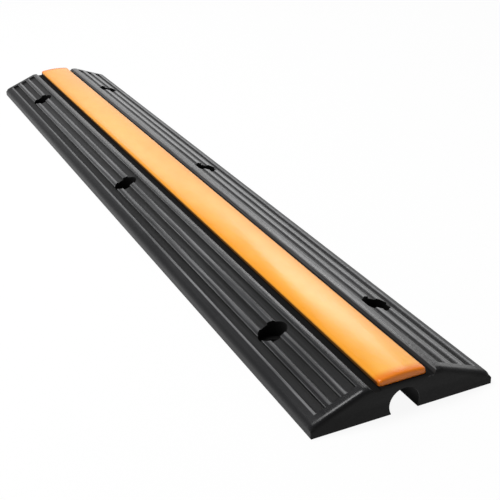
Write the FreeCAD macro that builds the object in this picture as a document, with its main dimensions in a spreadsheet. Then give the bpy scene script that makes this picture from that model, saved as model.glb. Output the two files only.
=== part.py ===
"""Drop-over cable protector ramp: a moulded rubber body with an inlaid warning strip.

Frame: X across the ramp, Y along it, Z up, origin at the middle of the underside. Millimetres.
"""

import FreeCAD, Part
import math
import os

import Sketcher
from FreeCAD import Vector

doc = FreeCAD.newDocument("CableRamp")

# ---------------------------------------------------------------- driving sizes
# name, value, meaning
SIZES = [
    ("length", 1000, "overall length"),
    ("base_width", 155, "overall width on the floor"),
    ("crown_height", 26.5, "floor to the flat crown"),
    ("crown_flat", 4.3, "flat strip between the seat's lip and the start of the slope"),
    ("crown_radius", 12, "rounding where each slope leaves the crown"),
    ("toe_height", 9.2, "height where the slope would meet the side wall"),
    ("toe_radius", 6, "rounding along each toe"),
    ("end_radius", 3, "rounding of the top edges at both ends"),
    ("seat_depth", 3.5, "crown down to the floor of the grooves each side of the strip"),
    ("bed_rise", 2, "bed under the strip, above the floor of those grooves"),
    ("bed_inset", 0.6, "the strip overhangs its bed by this on each side"),
    ("lip_width", 3.3, "sloping lip each side of the seat, across"),
    ("lip_drop", 2.3, "sloping lip each side of the seat, downwards"),
    ("channel_radius", 13, "radius of the cable channel"),
    ("channel_mouth", 23.2, "width of the channel where it meets the floor"),
    ("web", 3.2, "rubber left between the channel and the level of the grooves"),
    ("flute_margin", 2.2, "from the start of the slope to the first flute"),
    ("toe_strip", 9.2, "smooth strip between the last flute and the side"),
    ("rib_width", 4.8, "rib left between two flutes"),
    ("flute_depth", 1.9, "depth of a flute"),
    ("flute_end", 10.5, "smooth strip between the flutes and each end"),
    ("anchor_gauge", 97.4, "between the two rows of anchor holes"),
    ("anchor_inset", 121, "from each end to the first anchor hole"),
    ("anchor_bore", 13, "diameter for the anchor's shank"),
    ("head_bore", 24, "diameter of the recess for its head and washer"),
    ("head_seat", 8, "floor up to the shoulder the washer sits on"),
    ("strip_width", 40.8, "width of the warning strip"),
    ("strip_edge", 4.2, "thickness of the strip along its long edges"),
    ("strip_rise", 1.8, "extra thickness of the strip at its middle"),
    ("strip_radius", 1.5, "rounding of the strip's top edges"),
    ("side_gap", 4.8, "open gap each side of the strip"),
    ("end_gap", 2.5, "the strip stops this short of each end"),
    ("peg_diameter", 6, "locating peg under the strip"),
    ("peg_length", 7, "how far a peg reaches below the bed"),
    ("peg_inset", 4.4, "from the strip's long edge to the peg's centre"),
    ("peg_end_inset", 50, "from the strip's end to the first peg"),
    ("peg_clearance", 0.2, "radial gap round a peg, and more than that below it"),
]
FLUTES = 3
PEG_ROWS = 9
ANCHOR_ROWS = 3
CUT_OVER = 5  # how far a cutting outline stands clear of what it cuts

sheet = doc.addObject("Spreadsheet::Sheet", "Sizes")
for row, (name, value, meaning) in enumerate(SIZES, start=1):
    sheet.set(f"A{row}", meaning)
    sheet.set(f"B{row}", str(value))
    sheet.setAlias(f"B{row}", name)
doc.recompute()

SIDES = (-1, 1)
HALF_BASE = "Sizes.base_width / 2"
HALF_SEAT = "(Sizes.strip_width / 2 + Sizes.side_gap)"
HALF_LIP = f"({HALF_SEAT} + Sizes.lip_width)"
HALF_CROWN = f"({HALF_LIP} + Sizes.crown_flat)"
HALF_BED = "(Sizes.strip_width / 2 - Sizes.bed_inset)"
GROOVE_FLOOR = "(Sizes.crown_height - Sizes.seat_depth)"
BED = f"({GROOVE_FLOOR} + Sizes.bed_rise)"
FALL = f"((Sizes.crown_height - Sizes.toe_height) / ({HALF_BASE} - {HALF_CROWN}))"


def slope_height(across):
    """Expression for the height of the slope at a distance from the middle."""
    return f"(Sizes.crown_height - ({across} - {HALF_CROWN}) * {FALL})"


# ---------------------------------------------------------------- sketch helpers
def origin_plane(body, role):
    return next(f for f in body.Origin.OriginFeatures if f.Role == role)


def new_sketch(body, name, role, height=None):
    """A sketch on one of the body's own origin planes, raised by an expression if given."""
    sketch = body.newObject("Sketcher::SketchObject", name)
    sketch.AttachmentSupport = [(origin_plane(body, role), "")]
    sketch.MapMode = "FlatFace"
    if height is not None:
        sketch.setExpression("AttachmentOffset.Base.z", height)
    return sketch


def value_of(expression):
    return float(sheet.evalExpression(expression))


def drive(sketch, kind, *where_and_expression):
    """Add one driving constraint whose value follows an expression on the sheet."""
    *where, expression = where_and_expression
    index = sketch.addConstraint(Sketcher.Constraint(kind, *where, value_of(expression)))
    sketch.setExpression(f"Constraints[{index}]", expression)


def pin_point(sketch, edge, end, across, up):
    """Place one end of an edge by its two distances from the sketch's origin."""
    for kind, expression in (("DistanceX", across), ("DistanceY", up)):
        drive(sketch, kind, -1, 1, edge, end, expression)


def add_outline(sketch, corners):
    """A closed outline of straight lines through corners given as pairs of expressions."""
    places = [Vector(value_of(across), value_of(up), 0) for across, up in corners]
    first = sketch.GeometryCount
    for start, finish in zip(places, places[1:] + places[:1]):
        sketch.addGeometry(Part.LineSegment(start, finish))
    edges = range(first, sketch.GeometryCount)
    for edge, after in zip(edges, list(edges[1:]) + [first]):
        sketch.addConstraint(Sketcher.Constraint("Coincident", edge, 2, after, 1))
    for edge, (across, up) in zip(edges, corners):
        pin_point(sketch, edge, 1, across, up)


def add_circles(sketch, centres, radius):
    """Circles of one radius, at centres given as pairs of expressions."""
    for across, along in centres:
        centre = Vector(value_of(across), value_of(along), 0)
        edge = sketch.addGeometry(Part.Circle(centre, Vector(0, 0, 1), value_of(radius)))
        pin_point(sketch, edge, 3, across, along)
        drive(sketch, "Radius", edge, radius)


# ---------------------------------------------------------------- feature helpers
def cut(body, name, sketch, depth=None, upwards=False):
    """Pocket a sketch: right through both ways, or to a depth. It must remove rubber."""
    before = body.Tip.Shape.Volume
    pocket = body.newObject("PartDesign::Pocket", name)
    pocket.Profile = sketch
    if depth is None:
        pocket.Type = "ThroughAll"
        pocket.SideType = "Symmetric"
    else:
        pocket.setExpression("Length", depth)
        pocket.Reversed = upwards
    doc.recompute()
    if not pocket.Shape.Volume < before - 1:
        raise RuntimeError(f"{name} removed nothing")
    return pocket


def cut_along(body, name, sketch, run):
    """Pocket a sketch of the cross-section along Y, centred, for a given run."""
    pocket = cut(body, name, sketch)
    pocket.Type = "Length"
    pocket.setExpression("Length", run)
    doc.recompute()
    return pocket


def pad_along(body, name, sketch, run):
    """Pad a sketch of the cross-section along Y, centred, for a given run."""
    pad = body.newObject("PartDesign::Pad", name)
    pad.Profile = sketch
    pad.SideType = "Symmetric"
    pad.setExpression("Length", run)
    doc.recompute()
    return pad


def round_edges(body, name, wanted, radius):
    """Fillet every edge of the body's tip for which wanted(edge) is true."""
    base = body.Tip
    names = [f"Edge{i}" for i, edge in enumerate(base.Shape.Edges, start=1) if wanted(edge)]
    fillet = body.newObject("PartDesign::Fillet", name)
    fillet.Base = (base, names)
    fillet.setExpression("Radius", radius)
    doc.recompute()
    return fillet


def runs_along(edge):
    return abs(edge.tangentAt(edge.FirstParameter).y) > 0.999


def is_at(value, target):
    return abs(value - target) < 0.01


# ---------------------------------------------------------------- shared places
ANCHOR_X = "Sizes.anchor_gauge / 2"
ANCHOR_Y = "(Sizes.length / 2 - Sizes.anchor_inset)"
PEG_X = "(Sizes.strip_width / 2 - Sizes.peg_inset)"
PEG_Y = "(Sizes.length / 2 - Sizes.end_gap - Sizes.peg_end_inset)"


def grid(across, along, rows):
    """Centres in two rows, mirrored about the middle, evenly spaced along the ramp."""
    spots = []
    for side in SIDES:
        for row in range(rows):
            share = 2 * row / (rows - 1) - 1
            spots.append((f"{side} * {across}", f"{share} * {along}"))
    return spots


# ---------------------------------------------------------------- the rubber body
def make_ramp_body():
    body = doc.addObject("PartDesign::Body", "RampBody")
    body.Label = "ramp_body"

    section = new_sketch(body, "Section", "XZ_Plane")
    add_outline(section, [
        (f"-{HALF_BASE}", "0"),
        (HALF_BASE, "0"),
        (HALF_BASE, "Sizes.toe_height"),
        (HALF_CROWN, "Sizes.crown_height"),
        (f"-{HALF_CROWN}", "Sizes.crown_height"),
        (f"-{HALF_BASE}", "Sizes.toe_height"),
    ])
    pad_along(body, "Bar", section, "Sizes.length")

    toe_height = sheet.toe_height
    crown_height = sheet.crown_height
    half_length = sheet.length / 2
    round_edges(body, "ToeRounding",
                lambda e: runs_along(e) and is_at(e.CenterOfMass.z, toe_height), "Sizes.toe_radius")
    round_edges(body, "CrownRounding",
                lambda e: runs_along(e) and is_at(e.CenterOfMass.z, crown_height), "Sizes.crown_radius")
    round_edges(body, "EndRounding",
                lambda e: is_at(abs(e.CenterOfMass.y), half_length) and e.CenterOfMass.z > 0.01,
                "Sizes.end_radius")

    # the seat for the warning strip: a raised bed, a groove each side of it and two sloping lips
    seat = new_sketch(body, "SeatSection", "XZ_Plane")
    lip_foot = "(Sizes.crown_height - Sizes.lip_drop)"
    above = f"(Sizes.crown_height + {CUT_OVER})"
    add_outline(seat, [
        (f"-{HALF_SEAT}", GROOVE_FLOOR),
        (f"-{HALF_BED}", GROOVE_FLOOR),
        (f"-{HALF_BED}", BED),
        (HALF_BED, BED),
        (HALF_BED, GROOVE_FLOOR),
        (HALF_SEAT, GROOVE_FLOOR),
        (HALF_SEAT, lip_foot),
        (HALF_LIP, "Sizes.crown_height"),
        (HALF_LIP, above),
        (f"-{HALF_LIP}", above),
        (f"-{HALF_LIP}", "Sizes.crown_height"),
        (f"-{HALF_SEAT}", lip_foot),
    ])
    cut(body, "Seat", seat)

    # the cable channel: an arch a little more than half round, open at the underside
    channel = new_sketch(body, "ChannelSection", "XZ_Plane")
    centre = f"({GROOVE_FLOOR} - Sizes.web - Sizes.channel_radius)"
    half_mouth = "Sizes.channel_mouth / 2"
    radius = sheet.channel_radius
    centre_height = value_of(centre)
    half = value_of(half_mouth)
    dip = math.asin(math.sqrt(radius ** 2 - half ** 2) / radius)
    spring = centre_height - radius * math.sin(dip)
    arch = Part.ArcOfCircle(Part.Circle(Vector(0, centre_height, 0), Vector(0, 0, 1), radius),
                            -dip, math.pi + dip)
    channel.addGeometry(arch)
    channel.addGeometry(Part.LineSegment(Vector(-half, spring, 0), Vector(-half, -CUT_OVER, 0)))
    channel.addGeometry(Part.LineSegment(Vector(-half, -CUT_OVER, 0), Vector(half, -CUT_OVER, 0)))
    channel.addGeometry(Part.LineSegment(Vector(half, -CUT_OVER, 0), Vector(half, spring, 0)))
    for edge, after in ((0, 1), (1, 2), (2, 3)):
        channel.addConstraint(Sketcher.Constraint("Coincident", edge, 2, after, 1))
    channel.addConstraint(Sketcher.Constraint("Coincident", 3, 2, 0, 1))
    pin_point(channel, 0, 3, "0", centre)
    drive(channel, "Radius", 0, "Sizes.channel_radius")
    pin_point(channel, 2, 1, f"-{half_mouth}", f"-{CUT_OVER}")
    pin_point(channel, 2, 2, half_mouth, f"-{CUT_OVER}")
    for edge in (1, 3):
        channel.addConstraint(Sketcher.Constraint("Vertical", edge))
    cut(body, "Channel", channel)

    # grip flutes down both slopes: upright on the crown side, leaning back on the toe side
    flutes = new_sketch(body, "FluteSections", "XZ_Plane")
    first = f"({HALF_CROWN} + Sizes.flute_margin)"
    last = f"({HALF_BASE} - Sizes.toe_strip)"
    width = f"(({last} - {first} - {FLUTES - 1} * Sizes.rib_width) / {FLUTES})"
    for side in SIDES:
        for number in range(FLUTES):
            crown_side = f"({first} + {number} * ({width} + Sizes.rib_width))"
            toe_side = f"({crown_side} + {width})"
            foot = f"({toe_side} - Sizes.flute_depth)"
            add_outline(flutes, [
                (f"{side} * {crown_side}", f"{slope_height(crown_side)} + {CUT_OVER}"),
                (f"{side} * {crown_side}", f"{slope_height(crown_side)} - Sizes.flute_depth"),
                (f"{side} * {foot}", f"{slope_height(foot)} - Sizes.flute_depth"),
                (f"{side} * {toe_side}", slope_height(toe_side)),
                (f"{side} * {toe_side}", f"{slope_height(toe_side)} + {CUT_OVER}"),
            ])
    cut_along(body, "Flutes", flutes, "Sizes.length - 2 * Sizes.flute_end")

    # anchor holes: a shank bore right through, and above it the recess for head and washer
    anchors = grid(ANCHOR_X, ANCHOR_Y, ANCHOR_ROWS)
    bores = new_sketch(body, "AnchorCentres", "XY_Plane")
    add_circles(bores, anchors, "Sizes.anchor_bore / 2")
    cut(body, "AnchorBores", bores)
    recesses = new_sketch(body, "HeadCentres", "XY_Plane", "Sizes.head_seat")
    add_circles(recesses, anchors, "Sizes.head_bore / 2")
    cut(body, "HeadRecesses", recesses, "Sizes.crown_height", upwards=True)

    # blind sockets in the bed for the strip's pegs
    sockets = new_sketch(body, "SocketCentres", "XY_Plane", BED)
    add_circles(sockets, grid(PEG_X, PEG_Y, PEG_ROWS), "Sizes.peg_diameter / 2 + Sizes.peg_clearance")
    cut(body, "PegSockets", sockets, "Sizes.peg_length + 2 * Sizes.peg_clearance")
    return body


# ---------------------------------------------------------------- the warning strip
def make_warning_strip():
    body = doc.addObject("PartDesign::Body", "WarningStrip")
    body.Label = "warning_strip"
    half = "Sizes.strip_width / 2"
    edge_top = f"({BED} + Sizes.strip_edge)"
    middle_top = f"({edge_top} + Sizes.strip_rise)"
    run = "(Sizes.length - 2 * Sizes.end_gap)"

    section = new_sketch(body, "StripSection", "XZ_Plane")
    left = -value_of(half)
    right = value_of(half)
    floor = value_of(BED)
    shoulder = value_of(edge_top)
    top = Part.Arc(Vector(right, shoulder, 0), Vector(0, value_of(middle_top), 0), Vector(left, shoulder, 0))
    section.addGeometry(top)
    section.addGeometry(Part.LineSegment(Vector(left, shoulder, 0), Vector(left, floor, 0)))
    section.addGeometry(Part.LineSegment(Vector(left, floor, 0), Vector(right, floor, 0)))
    section.addGeometry(Part.LineSegment(Vector(right, floor, 0), Vector(right, shoulder, 0)))
    for edge, after in ((0, 1), (1, 2), (2, 3)):
        section.addConstraint(Sketcher.Constraint("Coincident", edge, 2, after, 1))
    section.addConstraint(Sketcher.Constraint("Coincident", 3, 2, 0, 1))
    pin_point(section, 2, 1, f"-{half}", BED)
    pin_point(section, 2, 2, half, BED)
    pin_point(section, 0, 1, half, edge_top)
    pin_point(section, 0, 2, f"-{half}", edge_top)
    chord = "(Sizes.strip_width ^ 2 / 4 + Sizes.strip_rise ^ 2)"
    drive(section, "Radius", 0, f"{chord} / (2 * Sizes.strip_rise)")
    pad_along(body, "Slab", section, run)

    half_run = value_of(run) / 2
    half_width = sheet.strip_width / 2
    round_edges(body, "TopRounding",
                lambda e: e.CenterOfMass.z > shoulder - 0.01
                and (is_at(abs(e.CenterOfMass.y), half_run) or is_at(abs(e.CenterOfMass.x), half_width)),
                "Sizes.strip_radius")

    # locating pegs, moulded in one with the strip
    pegs = new_sketch(body, "PegCentres", "XY_Plane", BED)
    add_circles(pegs, grid(PEG_X, PEG_Y, PEG_ROWS), "Sizes.peg_diameter / 2")
    pad = body.newObject("PartDesign::Pad", "Pegs")
    pad.Profile = pegs
    pad.Reversed = True
    pad.setExpression("Length", "Sizes.peg_length")
    doc.recompute()
    return body


# ---------------------------------------------------------------- build, check, write
pieces = [make_ramp_body(), make_warning_strip()]
doc.recompute()

for item in doc.Objects:
    if "Invalid" in item.State or "Error" in item.State:
        raise RuntimeError(f"{item.Label}: {item.State}")
for piece in pieces:
    if piece.Shape.isNull() or not piece.Shape.isValid() or len(piece.Shape.Solids) != 1:
        raise RuntimeError(f"{piece.Label} is not one sound solid")

os.makedirs("parts", exist_ok=True)
for piece in pieces:
    piece.Shape.exportStep(f"parts/{piece.Label}.step")
    box = piece.Shape.BoundBox
    print(piece.Label, round(piece.Shape.Volume), box)
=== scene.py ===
import math

import bmesh
import bpy
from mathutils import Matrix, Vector


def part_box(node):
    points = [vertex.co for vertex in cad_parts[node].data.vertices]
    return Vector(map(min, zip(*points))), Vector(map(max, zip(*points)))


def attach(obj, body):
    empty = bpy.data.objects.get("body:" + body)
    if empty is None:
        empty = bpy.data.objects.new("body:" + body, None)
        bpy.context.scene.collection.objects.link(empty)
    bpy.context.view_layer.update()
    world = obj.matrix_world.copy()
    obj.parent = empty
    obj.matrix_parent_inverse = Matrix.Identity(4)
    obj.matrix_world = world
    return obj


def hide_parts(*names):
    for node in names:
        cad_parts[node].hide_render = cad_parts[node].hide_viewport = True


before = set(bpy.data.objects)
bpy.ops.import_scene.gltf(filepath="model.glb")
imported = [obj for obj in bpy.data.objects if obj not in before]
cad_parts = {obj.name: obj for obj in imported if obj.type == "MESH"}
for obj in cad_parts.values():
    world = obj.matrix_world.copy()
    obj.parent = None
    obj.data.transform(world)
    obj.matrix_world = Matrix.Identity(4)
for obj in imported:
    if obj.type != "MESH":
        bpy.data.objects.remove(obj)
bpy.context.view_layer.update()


# ---------------------------------------------------------------- the ramp
# One heavy moulding of black recycled rubber, cast upside down in an open steel mould.
# Its two slopes carry grip flutes, its crown holds the seat for the warning strip, and its
# underside has the arch that drops over a cable. It is pinned to the road through six holes.
MM = 0.001
ramp_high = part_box("ramp_body")[1]
strip_low, strip_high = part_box("warning_strip")
HALF_BASE = ramp_high.x
HALF_LENGTH = ramp_high.y
CROWN_HEIGHT = ramp_high.z
SIDES = (-1, 1)
ENDS = (-1, 1)

HALF_STRIP = strip_high.x
SIDE_GAP = 4.8 * MM
HALF_SEAT = HALF_STRIP + SIDE_GAP
HALF_BED = HALF_STRIP - 0.6 * MM
BED = CROWN_HEIGHT - 1.5 * MM
GROOVE_FLOOR = CROWN_HEIGHT - 3.5 * MM
HALF_LIP = HALF_SEAT + 3.3 * MM
HALF_CROWN = HALF_LIP + 4.3 * MM
TOE_HEIGHT = 9.2 * MM
TOE_RADIUS = 6 * MM
CROWN_RADIUS = 12 * MM
END_ROUNDING = 4.4 * MM
FALL = (CROWN_HEIGHT - TOE_HEIGHT) / (HALF_BASE - HALF_CROWN)
SLOPE = math.atan(FALL)

FLUTES = 3
RIB_WIDTH = 4.8 * MM
FLUTE_DEPTH = 1.9 * MM
FLUTE_FIRST = HALF_CROWN + 2.2 * MM
FLUTE_LAST = HALF_BASE - 9.2 * MM
FLUTE_WIDTH = (FLUTE_LAST - FLUTE_FIRST - (FLUTES - 1) * RIB_WIDTH) / FLUTES
FLUTE_PITCH = FLUTE_WIDTH + RIB_WIDTH
FLUTE_REACH = HALF_LENGTH - 10.5 * MM
RIB_ROUNDING = 1.9 * MM
FLUTE_EDGE_SHARE = 0.3
SEAM_MARGIN = 1.5 * MM

CHANNEL_RADIUS = 13 * MM
CHANNEL_CENTRE = GROOVE_FLOOR - 3.2 * MM - CHANNEL_RADIUS
HALF_MOUTH = 11.6 * MM

ANCHOR_X = 48.7 * MM
ANCHOR_Y = HALF_LENGTH - 121 * MM
ANCHOR_RADIUS = 6.5 * MM
HEAD_RADIUS = 12 * MM
HEAD_SEAT = 8 * MM
OVER = 10 * MM  # how far a cutter stands clear of what it cuts


def slope_height(across):
    return CROWN_HEIGHT - (abs(across) - HALF_CROWN) * FALL


def near(value, target, slack=0.02 * MM):
    return abs(value - target) < slack


def start_piece(name, add_primitive, **place):
    """Add one primitive as a new piece, its place put into its mesh, and open it for editing."""
    if bpy.context.mode != "OBJECT":
        bpy.ops.object.mode_set(mode="OBJECT")
    bpy.ops.object.select_all(action="DESELECT")
    add_primitive(**place)
    piece = bpy.context.object
    piece.name = name
    bpy.ops.object.transform_apply(location=True, rotation=True, scale=True)
    bpy.ops.object.mode_set(mode="EDIT")
    return piece


def add_block(low, high):
    """A box from its lowest corner to its highest."""
    middle = [(a + b) / 2 for a, b in zip(low, high)]
    size = [b - a for a, b in zip(low, high)]
    bpy.ops.mesh.primitive_cube_add(size=1, location=middle, scale=size)


def pick(kind, wanted):
    """Select only the faces, edges or verts of the open piece that are wanted."""
    bpy.ops.mesh.select_mode(type={"faces": "FACE", "edges": "EDGE", "verts": "VERT"}[kind])
    bpy.ops.mesh.select_all(action="DESELECT")
    piece = bpy.context.object
    mesh = bmesh.from_edit_mesh(piece.data)
    mesh.normal_update()
    for element in getattr(mesh, kind):
        element.select_set(wanted(element))
    mesh.select_flush_mode()
    bmesh.update_edit_mesh(piece.data)


def middle_of(edge):
    return (edge.verts[0].co + edge.verts[1].co) / 2


def lies_along(edge):
    """True for an edge that runs along the ramp."""
    return near(edge.verts[0].co.x, edge.verts[1].co.x) and near(edge.verts[0].co.z, edge.verts[1].co.z)


def slice_at(point, normal, **clear):
    bpy.ops.mesh.bisect(plane_co=point, plane_no=normal, threshold=1e-6, **clear)


def round_off(radius, turn, segments):
    """Bevel the selected edges to an arc of a radius, where the surface turns by an angle."""
    bpy.ops.mesh.bevel(offset_type="OFFSET", offset=radius * math.tan(turn / 2), segments=segments,
                       profile=0.5, affect="EDGES", clamp_overlap=False)


def carve(piece, cutter):
    """Take the cutter's shape out of a piece, and throw the cutter away."""
    bpy.ops.object.mode_set(mode="OBJECT")
    bpy.ops.object.select_all(action="DESELECT")
    bpy.context.view_layer.objects.active = piece
    piece.select_set(True)
    cut = piece.modifiers.new("cut", "BOOLEAN")
    cut.operation = "DIFFERENCE"
    cut.solver = "EXACT"
    cut.object = cutter
    bpy.ops.object.modifier_apply(modifier=cut.name)
    bpy.data.objects.remove(cutter)


ramp = start_piece("rubber_ramp", add_block, low=(-HALF_BASE, -HALF_LENGTH, 0),
                   high=(HALF_BASE, HALF_LENGTH, CROWN_HEIGHT))
for side in SIDES:
    bpy.ops.mesh.select_all(action="SELECT")
    slice_at((side * HALF_CROWN, 0, CROWN_HEIGHT), (side * math.sin(SLOPE), 0, math.cos(SLOPE)),
             clear_outer=True, use_fill=True)
pick("edges", lambda e: lies_along(e) and near(middle_of(e).z, TOE_HEIGHT))
round_off(TOE_RADIUS, math.pi / 2 - SLOPE, 6)
pick("edges", lambda e: lies_along(e) and near(middle_of(e).z, CROWN_HEIGHT))
round_off(CROWN_RADIUS, SLOPE, 4)

# the slopes are scored lengthways where the flutes will be, and the ends are rounded over
flute_edges = []
for number in range(FLUTES):
    crown_side = FLUTE_FIRST + number * FLUTE_PITCH
    flute_edges.append((crown_side, crown_side + FLUTE_WIDTH))


def on_slope(face):
    centre = face.calc_center_median()
    return near(centre.z, slope_height(centre.x), 0.1 * MM) and face.normal.z > 0.9


for side in SIDES:
    for across in (x for pair in flute_edges for x in pair):
        pick("faces", on_slope)
        slice_at((side * across, 0, 0), (1, 0, 0))
pick("edges", lambda e: near(abs(middle_of(e).y), HALF_LENGTH)
     and middle_of(e).z > TOE_HEIGHT - TOE_RADIUS / 2
     and len({round(f.normal.y, 3) for f in e.link_faces}) == 2)
round_off(END_ROUNDING, math.pi / 2, 5)


# each flute is sunk into the slope: upright on the crown side, leaning back on the toe side
def in_flute(across):
    return any(low < abs(across) < high for low, high in flute_edges)


def is_flute(face):
    centre = face.calc_center_median()
    return on_slope(face) and in_flute(centre.x) and abs(centre.y) < FLUTE_REACH


for end in ENDS:
    pick("faces", lambda f: on_slope(f) and in_flute(f.calc_center_median().x))
    slice_at((0, end * FLUTE_REACH, 0), (0, 1, 0))
pick("faces", is_flute)
bpy.ops.mesh.extrude_region_move(TRANSFORM_OT_translate={"value": (0, 0, -FLUTE_DEPTH)})
for side in SIDES:
    for crown_side, toe_side in flute_edges:
        half_way_down = slope_height(toe_side) - FLUTE_DEPTH / 2
        pick("verts", lambda v: near(v.co.x, side * toe_side) and v.co.z < half_way_down)
        bpy.ops.transform.translate(value=(-side * FLUTE_DEPTH, 0, FLUTE_DEPTH * FALL))


def is_flute_edge(edge):
    where = middle_of(edge)
    depth = slope_height(where.x) - where.z
    return (abs(where.y) < HALF_LENGTH - END_ROUNDING - MM and edge.calc_face_angle(0) > math.radians(20)
            and -0.1 * MM < depth < FLUTE_DEPTH + MM and HALF_CROWN < abs(where.x) < HALF_BASE - TOE_RADIUS)


def is_rib_shoulder(edge):
    """The rounded crown side of each rib, which is the toe side of the flute above it."""
    where = middle_of(edge)
    return (is_flute_edge(edge) and lies_along(edge) and near(where.z, slope_height(where.x))
            and any(near(abs(where.x), toe_side) for _, toe_side in flute_edges))


def round_weighted_edges(piece, width, segments):
    """Round every edge that carries a bevel weight, each by its share of a width."""
    bpy.ops.object.mode_set(mode="OBJECT")
    bevel = piece.modifiers.new("rounding", "BEVEL")
    bevel.limit_method = "WEIGHT"
    bevel.width = width
    bevel.segments = segments
    bpy.ops.object.modifier_apply(modifier=bevel.name)
    bpy.ops.object.mode_set(mode="EDIT")


pick("edges", is_rib_shoulder)
bpy.ops.transform.edge_bevelweight(value=1)
pick("edges", lambda e: is_flute_edge(e) and not is_rib_shoulder(e))
bpy.ops.transform.edge_bevelweight(value=FLUTE_EDGE_SHARE)
round_weighted_edges(ramp, RIB_ROUNDING, 5)

# the seat for the strip: a flat bed between two grooves, each with an outer wall that slopes up
# to the crown
seat = start_piece("seat_cutter", add_block, low=(-HALF_SEAT, -HALF_LENGTH - OVER, BED),
                   high=(HALF_SEAT, HALF_LENGTH + OVER, CROWN_HEIGHT + OVER))
carve(ramp, seat)
for side in SIDES:
    across = sorted((side * HALF_BED, side * HALF_SEAT))
    groove = start_piece("groove_cutter", add_block, low=(across[0], -HALF_LENGTH - OVER, GROOVE_FLOOR),
                         high=(across[1], HALF_LENGTH + OVER, CROWN_HEIGHT))
    pick("verts", lambda v: near(v.co.x, side * HALF_SEAT) and near(v.co.z, CROWN_HEIGHT))
    bpy.ops.transform.translate(value=(side * (HALF_LIP - HALF_SEAT), 0, 0))
    pick("faces", lambda f: f.normal.z > 0.9)
    bpy.ops.mesh.extrude_region_move(TRANSFORM_OT_translate={"value": (0, 0, OVER)})
    carve(ramp, groove)

# the arch over the cable, a little more than half round, with a short upright mouth
arch = start_piece("arch_cutter", bpy.ops.mesh.primitive_cylinder_add, vertices=96, radius=CHANNEL_RADIUS,
                   depth=2 * (HALF_LENGTH + OVER), location=(0, 0, CHANNEL_CENTRE),
                   rotation=(math.pi / 2, 0, 0))
carve(ramp, arch)
mouth = start_piece("mouth_cutter", add_block, low=(-HALF_MOUTH, -HALF_LENGTH - OVER, -OVER),
                    high=(HALF_MOUTH, HALF_LENGTH + OVER, CHANNEL_CENTRE / 2))
carve(ramp, mouth)

# six anchor holes: a shank bore right through, under a recess for the head and its washer
for side in SIDES:
    for along in (-ANCHOR_Y, 0, ANCHOR_Y):
        for radius, floor in ((ANCHOR_RADIUS, -OVER), (HEAD_RADIUS, HEAD_SEAT)):
            depth = CROWN_HEIGHT + OVER - floor
            drill = start_piece("drill", bpy.ops.mesh.primitive_cylinder_add, vertices=64, radius=radius,
                                depth=depth, location=(side * ANCHOR_X, along, floor + depth / 2))
            carve(ramp, drill)


def finish_piece(piece):
    """Close the mesh up, turn its faces outwards and smooth it but for its sharp edges."""
    bpy.ops.object.mode_set(mode="OBJECT")
    bpy.ops.object.select_all(action="DESELECT")
    bpy.context.view_layer.objects.active = piece
    piece.select_set(True)
    bpy.ops.object.mode_set(mode="EDIT")
    bpy.ops.mesh.select_all(action="SELECT")
    bpy.ops.mesh.remove_doubles(threshold=0.002 * MM)
    bpy.ops.mesh.normals_make_consistent(inside=False)
    bpy.ops.object.mode_set(mode="OBJECT")
    bpy.ops.object.shade_smooth_by_angle(angle=math.radians(35))


# seams just inside the rounded ends and the flutes' ends, so that the long faces shade flat
bpy.ops.object.mode_set(mode="EDIT")
for end in ENDS:
    for along in (HALF_LENGTH - END_ROUNDING - SEAM_MARGIN, FLUTE_REACH - RIB_ROUNDING - SEAM_MARGIN):
        bpy.ops.mesh.select_all(action="SELECT")
        slice_at((0, end * along, 0), (0, 1, 0))
finish_piece(ramp)


class Shade:
    """A socket in a finish's node tree. Sums of Shades, or of a Shade and a number, add Math nodes."""

    def __init__(self, socket):
        self.socket = socket

    @staticmethod
    def node(tree, kind, settings=None, sockets=None, output=0):
        """Add one node: its settings first, then its sockets' values or links."""
        made = tree.nodes.new("ShaderNode" + kind)
        for name, value in (settings or {}).items():
            setattr(made, name, value)
        for name, value in (sockets or {}).items():
            if isinstance(value, Shade):
                tree.links.new(value.socket, made.inputs[name])
            else:
                made.inputs[name].default_value = value
        return Shade(made.outputs[output])

    def other(self, output):
        """Another output of the same node."""
        return Shade(self.socket.node.outputs[output])

    def math(self, operation, second=0.0):
        return Shade.node(self.socket.id_data, "Math", {"operation": operation}, {0: self, 1: second})

    def fade(self, low, high):
        """0 at low, 1 at high, smooth between; low may be the larger."""
        return Shade.node(self.socket.id_data, "MapRange", {"interpolation_type": "SMOOTHSTEP"},
                          {"Value": self, "From Min": low, "From Max": high})

    def __add__(self, other):
        return self.math("ADD", other)

    def __sub__(self, other):
        return self.math("SUBTRACT", other)

    def __rsub__(self, other):
        return Shade.node(self.socket.id_data, "Math", {"operation": "SUBTRACT"}, {0: other, 1: self})

    def __mul__(self, other):
        return self.math("MULTIPLY", other)

    __radd__ = __add__
    __rmul__ = __mul__


def new_finish(name):
    """A fresh material, its node tree and its one shader."""
    material = bpy.data.materials.new(name)
    material.use_nodes = True
    tree = material.node_tree
    return material, tree, tree.nodes["Principled BSDF"]


def grain(tree, place, size, detail=2.0, stretch=1.0):
    """Noise with marks of about a given size in metres, drawn out along the ramp by a factor."""
    drawn = Shade.node(tree, "Mapping", {}, {"Vector": place, "Scale": (1, 1 / stretch, 1)})
    return Shade.node(tree, "TexNoise", {}, {"Vector": drawn, "Scale": 1 / size, "Detail": detail})


def blend(tree, factor, first, second):
    """A mix of two colours, each a Shade or three numbers."""
    first, second = [c if isinstance(c, Shade) else (*c, 1) for c in (first, second)]
    return Shade.node(tree, "Mix", {"data_type": "RGBA"}, {"Factor": factor, 6: first, 7: second}, output=2)


def bump(tree, height, depth, strength, under=None):
    """Raise the surface by a depth in metres, on top of an earlier bump if one is given."""
    sockets = {"Height": height, "Distance": depth, "Strength": strength}
    if under:
        sockets["Normal"] = under
    return Shade.node(tree, "Bump", {}, sockets)


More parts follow.
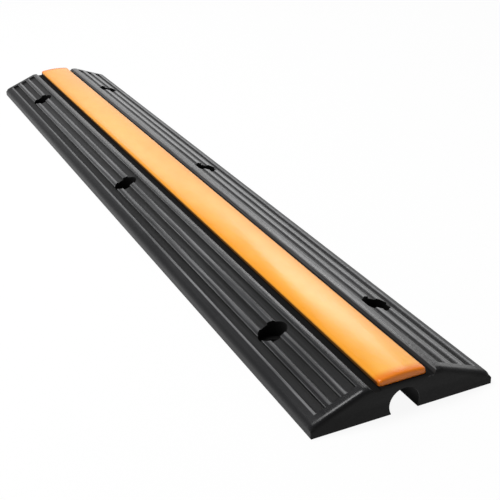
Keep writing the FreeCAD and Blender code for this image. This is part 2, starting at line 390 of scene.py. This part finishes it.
def link(shade, shader, socket):
    shader.id_data.links.new(shade.socket, shader.inputs[socket])


RUBBER_BLACK = (0.008, 0.008, 0.009)
RUBBER_GREY_BLACK = (0.016, 0.016, 0.017)
SCUFF_AND_SHEEN_GREY = (0.060, 0.061, 0.063)
HIGHLIGHT_AND_WEAR_GREY = (0.190, 0.191, 0.195)
FLUTE_SHADE_BLACK = (0.004, 0.004, 0.004)
END_SHADE_BLACK = (0.0035, 0.0035, 0.0035)
HOLLOW_SHADE_BLACK = (0.0025, 0.0025, 0.0025)
SCUFF_AND_SHEEN_REACH = 220 * MM


def black_rubber():
    """Satin black rubber: matt and painted dark as shade in its flutes, hollows and ends; painted highlight
    and some wear along its raised edges; scuffs and painted sheen away from its ends.
    """
    material, tree, shader = new_finish("black_rubber")
    place = Shade.node(tree, "TexCoord", output="Object")
    spot = Shade.node(tree, "SeparateXYZ", {}, {"Vector": place})
    across = spot.math("ABSOLUTE")
    along = spot.other("Y").math("ABSOLUTE")
    height = spot.other("Z")

    # where on the ramp: in a flute, on a rib's edge, in an anchor hole or in the seat's grooves
    on_flutes = (across.fade(FLUTE_FIRST - MM, FLUTE_FIRST)
                 * across.fade(FLUTE_LAST + 2 * MM, FLUTE_LAST + MM)
                 * along.fade(FLUTE_REACH + MM, FLUTE_REACH))
    depth = CROWN_HEIGHT - (across - HALF_CROWN) * FALL - height
    sunk = depth.fade(0.4 * MM, 1.4 * MM) * on_flutes
    pitch_place = (across - FLUTE_FIRST).math("FLOORED_MODULO", FLUTE_PITCH)
    # painted shade: the corner under each flute's upright crown-side wall
    corner = pitch_place.fade(3.5 * MM, 0.5 * MM) * sunk
    shoulder = (pitch_place - FLUTE_WIDTH - 0.5 * MM).math("ABSOLUTE").fade(2.0 * MM, 0.5 * MM)
    flute_rim = (pitch_place - FLUTE_PITCH + 0.2 * MM).math("ABSOLUTE").fade(0.6 * MM, 0.1 * MM)
    seat_rim = ((across - HALF_LIP + 0.5 * MM).math("ABSOLUTE").fade(0.9 * MM, 0.2 * MM)
                * height.fade(CROWN_HEIGHT - MM, CROWN_HEIGHT - 0.4 * MM))
    hole_across = across - ANCHOR_X
    hole_along = along.math("PINGPONG", ANCHOR_Y / 2)
    hole_radius = (hole_across * hole_across + hole_along * hole_along).math("SQRT")
    in_hole = hole_radius.fade(HEAD_RADIUS + 0.5 * MM, HEAD_RADIUS + 0.1 * MM)
    in_groove = (across.fade(HALF_SEAT + 1.4 * MM, HALF_SEAT + 0.5 * MM)
                 * height.fade(CROWN_HEIGHT - 0.5 * MM, CROWN_HEIGHT - 1.1 * MM)
                 * along.fade(HALF_LENGTH - 0.2 * MM, HALF_LENGTH - 1.4 * MM))
    hollow = in_hole.math("MAXIMUM", in_groove)

    clouds = grain(tree, place, 60 * MM, detail=4.0, stretch=3.0)
    flow = grain(tree, place, 2.2 * MM, detail=3.0, stretch=40.0)
    ripple = grain(tree, place, 9 * MM, detail=2.0, stretch=5.0)
    pores = grain(tree, place, 0.8 * MM, detail=3.0)
    streaks = flow.fade(0.35, 0.65)
    edges = (shoulder + flute_rim * 0.7) * (1 - sunk) * on_flutes + seat_rim
    edge_highlight_and_wear = edges * (0.5 + 0.5 * streaks) * clouds.fade(0.15, 0.55)
    end_face = along.fade(HALF_LENGTH - 2.5 * MM, HALF_LENGTH - 0.5 * MM)
    toe = height.fade(TOE_HEIGHT + 6 * MM, TOE_HEIGHT)

    scuff_and_sheen = (along.fade(HALF_LENGTH, HALF_LENGTH - SCUFF_AND_SHEEN_REACH)
               * height.fade(TOE_HEIGHT, TOE_HEIGHT + 8 * MM)
               * (0.3 + 0.7 * streaks))
    skin = blend(tree, clouds, RUBBER_BLACK, RUBBER_GREY_BLACK)
    # partly scuffing, partly painted sheen: the slopes turn greyer away from both ends, as if reflecting
    # the bright backdrop
    skin = blend(tree, scuff_and_sheen, skin, SCUFF_AND_SHEEN_GREY)
    # painted highlight with some wear: rib shoulders, flute rims and seat lips are lightened as if catching
    # light on their rounded edges
    skin = blend(tree, edge_highlight_and_wear, skin, HIGHLIGHT_AND_WEAR_GREY)
    # painted shade: the flute floors, and most of all their crown-side corners, are darkened as if in shade
    skin = blend(tree, sunk * 0.6 + corner * 0.4, skin, FLUTE_SHADE_BLACK)
    # painted shade: the end faces, turned away from the lamps, are darkened
    skin = blend(tree, end_face, skin, END_SHADE_BLACK)
    # painted shade: the anchor holes' recesses and the seat's grooves are darkened to near black
    link(blend(tree, hollow, skin, HOLLOW_SHADE_BLACK), shader, "Base Color")
    gloss = 0.17 + clouds * 0.12 + streaks * 0.04 + pores * 0.04
    matt = gloss + sunk * 0.12 + toe * 0.12 + end_face * 0.2
    link(matt.math("MAXIMUM", hollow * 0.85), shader, "Roughness")
    film = (height.fade(TOE_HEIGHT + MM, TOE_HEIGHT + 10 * MM) * (1 - end_face)
            * (1 - sunk * 0.6) * (1 - hollow))
    link(film * (0.25 + 0.25 * clouds), shader, "Coat Weight")
    shader.inputs["Coat Roughness"].default_value = 0.24
    shader.inputs["IOR"].default_value = 1.25
    waves = bump(tree, ripple, 0.25 * MM, 0.4)
    lines = bump(tree, flow, 0.2 * MM, 0.55, waves)
    link(bump(tree, pores, 0.15 * MM, 0.55, lines), shader, "Normal")
    return material


ramp.data.materials.clear()
ramp.data.materials.append(black_rubber())
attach(ramp, "root")
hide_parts("ramp_body")


# ---------------------------------------------------------------- the warning strip
# A separate bar of orange flexible PVC, slightly crowned, laid in the seat on the ramp's crown.
# Pegs moulded under it drop into blind sockets in the rubber, and its edges are all rounded.
HALF_STRIP_LENGTH = strip_high.y
STRIP_TOP = strip_high.z
STRIP_RISE = 1.8 * MM
CROWN_LINES = 12
CORNER_RADIUS = 3 * MM
EDGE_RADIUS = 2 * MM
PEG_RADIUS = 3 * MM
PEG_X = HALF_STRIP - 4.4 * MM
PEG_Y = HALF_STRIP_LENGTH - 50 * MM
PEG_ROWS = 9
PEG_CHAMFER = 0.6 * MM

strip = start_piece("orange_strip", add_block, low=(-HALF_STRIP, -HALF_STRIP_LENGTH, BED),
                    high=(HALF_STRIP, HALF_STRIP_LENGTH, STRIP_TOP - STRIP_RISE))
crown_lines = [HALF_STRIP * (2 * n / CROWN_LINES - 1) for n in range(1, CROWN_LINES)]
for across in crown_lines:
    pick("faces", lambda f: abs(f.normal.x) < 0.5)
    slice_at((across, 0, 0), (1, 0, 0))
for across in crown_lines:
    pick("verts", lambda v: near(v.co.x, across) and near(v.co.z, STRIP_TOP - STRIP_RISE))
    bpy.ops.transform.translate(value=(0, 0, STRIP_RISE * (1 - (across / HALF_STRIP) ** 2)))
pick("edges", lambda e: near(abs(middle_of(e).x), HALF_STRIP) and near(e.verts[0].co.y, e.verts[1].co.y))
round_off(CORNER_RADIUS, math.pi / 2, 6)


def on_top_rim(edge):
    up = [face.normal.z > 0.5 for face in edge.link_faces]
    return sorted(up) == [False, True] and middle_of(edge).z > BED + MM


pick("edges", on_top_rim)
round_off(EDGE_RADIUS, math.pi / 2, 5)

# seams just inside the rounded ends, so that the long top shades flat along its length
for end in ENDS:
    bpy.ops.mesh.select_all(action="SELECT")
    slice_at((0, end * (HALF_STRIP_LENGTH - CORNER_RADIUS - SEAM_MARGIN), 0), (0, 1, 0))
finish_piece(strip)

peg_depth = BED - strip_low.z
peg = start_piece("peg", bpy.ops.mesh.primitive_cylinder_add, vertices=32, radius=PEG_RADIUS,
                  depth=peg_depth, location=(0, 0, strip_low.z + peg_depth / 2))
pick("edges", lambda e: near(middle_of(e).z, strip_low.z, MM) and near(e.verts[0].co.z, e.verts[1].co.z))
bpy.ops.mesh.bevel(offset=PEG_CHAMFER, segments=2, affect="EDGES")
finish_piece(peg)
pegs = []
for side in SIDES:
    for row in range(PEG_ROWS):
        copy = peg.copy()
        copy.data = peg.data.copy()
        copy.location = (side * PEG_X, PEG_Y * (2 * row / (PEG_ROWS - 1) - 1), 0)
        bpy.context.scene.collection.objects.link(copy)
        pegs.append(copy)
bpy.data.objects.remove(peg)
bpy.ops.object.select_all(action="DESELECT")
for copy in pegs:
    copy.select_set(True)
strip.select_set(True)
bpy.context.view_layer.objects.active = strip
bpy.ops.object.transform_apply(location=True, rotation=False, scale=False)
bpy.ops.object.join()


ORANGE = (0.92, 0.39, 0.030)
PALE_ORANGE = (0.94, 0.44, 0.050)
SIDE_SHADE_ORANGE = (0.90, 0.30, 0.012)
END_SHADE_ORANGE = (0.80, 0.18, 0.006)
GAP_SHADE_BLACK = (0.02, 0.006, 0.002)


def orange_vinyl():
    """Satin orange PVC, with painted shade: deeper where the moulding turns down at its edges and ends, and
    near black low on its sides in the grooves.
    """
    material, tree, shader = new_finish("orange_vinyl")
    place = Shade.node(tree, "TexCoord", output="Object")
    spot = Shade.node(tree, "SeparateXYZ", {}, {"Vector": place})
    across = spot.math("ABSOLUTE")
    along = spot.other("Y").math("ABSOLUTE")
    height = spot.other("Z")
    long_edge = across.fade(HALF_STRIP - 10 * MM, HALF_STRIP - MM)
    short_edge = along.fade(HALF_STRIP_LENGTH - 12 * MM, HALF_STRIP_LENGTH - 3 * MM)
    # painted shade: the strip's sides low in the grooves, where little light reaches, go almost black
    gap_shade = (across.fade(HALF_STRIP - MM, HALF_STRIP - 0.3 * MM)
             * height.fade(STRIP_TOP - 2.4 * MM, BED + 1.5 * MM)
             * along.fade(HALF_STRIP_LENGTH - MM, HALF_STRIP_LENGTH - 4 * MM))

    clouds = grain(tree, place, 80 * MM, detail=3.0, stretch=2.5)
    mottle = grain(tree, place, 12 * MM, detail=4.0, stretch=2.0)
    peel = grain(tree, place, 3 * MM, detail=2.0)
    tone = (clouds * 0.6 + mottle * 0.4).fade(0.35, 0.65)
    shade = blend(tree, tone, ORANGE, PALE_ORANGE)
    # painted shade: a deeper orange where the top turns down to the long edges, and deeper still over the
    # ends
    shade = blend(tree, long_edge * 0.5, shade, SIDE_SHADE_ORANGE)
    shade = blend(tree, short_edge * 0.9, shade, END_SHADE_ORANGE)
    link(blend(tree, gap_shade * 0.9, shade, GAP_SHADE_BLACK), shader, "Base Color")
    link(0.17 + clouds * 0.10 + gap_shade * 0.4, shader, "Roughness")
    shader.inputs["IOR"].default_value = 1.4
    waves = bump(tree, mottle, 0.25 * MM, 0.3)
    link(bump(tree, peel, 0.15 * MM, 0.15, waves), shader, "Normal")
    return material


strip.data.materials.clear()
strip.data.materials.append(orange_vinyl())
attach(strip, "root")
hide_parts("warning_strip")


# ---------------------------------------------------------------- the studio
# A plain white floor that shows the ramp's soft shadow, and a white surround.
FLOOR_SIZE = 12.0
FLOOR_WHITE = 0.9
FLOOR_GLOW = 0.92
bpy.ops.object.select_all(action="DESELECT")
bpy.ops.mesh.primitive_plane_add(size=FLOOR_SIZE, location=(0, 0, 0))
floor = bpy.context.object
floor.name = "studio_floor"


def seen_directly(tree):
    """1 for what the camera, a reflection or a clear material sees, 0 for light that falls on things."""
    path = Shade.node(tree, "LightPath", output="Is Camera Ray")
    glossy_or_clear = path.other("Is Glossy Ray").math("MAXIMUM", path.other("Is Transmission Ray"))
    return path.math("MAXIMUM", glossy_or_clear)


def white_floor():
    material, tree, shader = new_finish("white_floor")
    shader.inputs["Base Color"].default_value = (FLOOR_WHITE, FLOOR_WHITE, FLOOR_WHITE, 1)
    shader.inputs["Roughness"].default_value = 0.9
    glow = Shade.node(tree, "Emission", {}, {"Color": (1, 1, 1, 1), "Strength": 1.0})
    shadowed = Shade(shader.outputs[0])
    both = Shade.node(tree, "MixShader", {}, {0: seen_directly(tree) * FLOOR_GLOW, 1: shadowed, 2: glow})
    tree.links.new(both.socket, tree.nodes["Material Output"].inputs["Surface"])
    return material


floor.data.materials.append(white_floor())

# the surround is plain white to look at, and gives little light of its own; in reflections it is
# white low down beyond the ramp's far end, and dimmer overhead and to the sides
SURROUND_LIGHT = 0.12
OVERHEAD = 0.25
DIM_ABOVE = (0.36, 0.50)
SIDEWAYS = 0.5
BRIGHT_MIDDLE = 0.42
DIM_BESIDE = (0.12, 0.50)
world = bpy.data.worlds.new("studio")
bpy.context.scene.world = world
world.use_nodes = True
surround = world.node_tree.nodes["Background"]
surround.inputs["Color"].default_value = (1, 1, 1, 1)
looking = Shade.node(world.node_tree, "TexCoord", output="Generated")
upwards = Shade.node(world.node_tree, "SeparateXYZ", {}, {"Vector": looking}, output="Z")
rightwards = Shade.node(world.node_tree, "SeparateXYZ", {}, {"Vector": looking})
beside = (rightwards - BRIGHT_MIDDLE).math("ABSOLUTE").fade(*DIM_BESIDE)
backdrop = (1 - upwards.fade(*DIM_ABOVE) * (1 - OVERHEAD)) * (1 - beside * (1 - SIDEWAYS))
straight = Shade.node(world.node_tree, "LightPath", output="Is Camera Ray")
seen = seen_directly(world.node_tree) * (backdrop.math("MAXIMUM", straight) - SURROUND_LIGHT)
link(SURROUND_LIGHT + seen, surround, "Strength")


def add_softbox(name, aim, turn, rise, distance, size, power):
    """A lamp seen from aim at a turn right of the ramp's far end and a rise above the floor."""
    lamp = bpy.data.lights.new(name, "AREA")
    lamp.shape = "RECTANGLE"
    lamp.size, lamp.size_y = size
    lamp.energy = power
    softbox = bpy.data.objects.new(name, lamp)
    bpy.context.scene.collection.objects.link(softbox)
    turn, rise = math.radians(turn), math.radians(rise)
    towards = Vector((math.sin(turn) * math.cos(rise), math.cos(turn) * math.cos(rise), math.sin(rise)))
    softbox.location = Vector(aim) + distance * towards
    softbox.rotation_euler = (-towards).to_track_quat("-Z", "Y").to_euler()


# one large lamp lights the ramp; two small ones past its far end show as sheen on it
add_softbox("main_softbox", aim=(0, -0.2, 0), turn=-60, rise=64, distance=2.6, size=(1.5, 1.5), power=76)
add_softbox("back_softbox", aim=(0, -0.3, 0.03), turn=28, rise=21.8, distance=3.0, size=(2.2, 0.30),
            power=3.75)
add_softbox("sheen_softbox", aim=(0, -0.4, 0.03), turn=29, rise=28.7, distance=2.5, size=(0.6, 0.34),
            power=3.6)

# the camera stands over the near left corner and looks down the ramp
camera_data = bpy.data.cameras.new("camera")
camera_data.lens = 72.15
camera_data.sensor_width = 36
camera = bpy.data.objects.new("camera", camera_data)
bpy.context.scene.collection.objects.link(camera)
camera.location = (-0.3454, -1.0204, 0.4255)
camera.rotation_euler = [math.radians(a) for a in (64.766, 2.277, -24.657)]
bpy.context.scene.camera = camera
bpy.context.scene.view_settings.view_transform = "Standard"
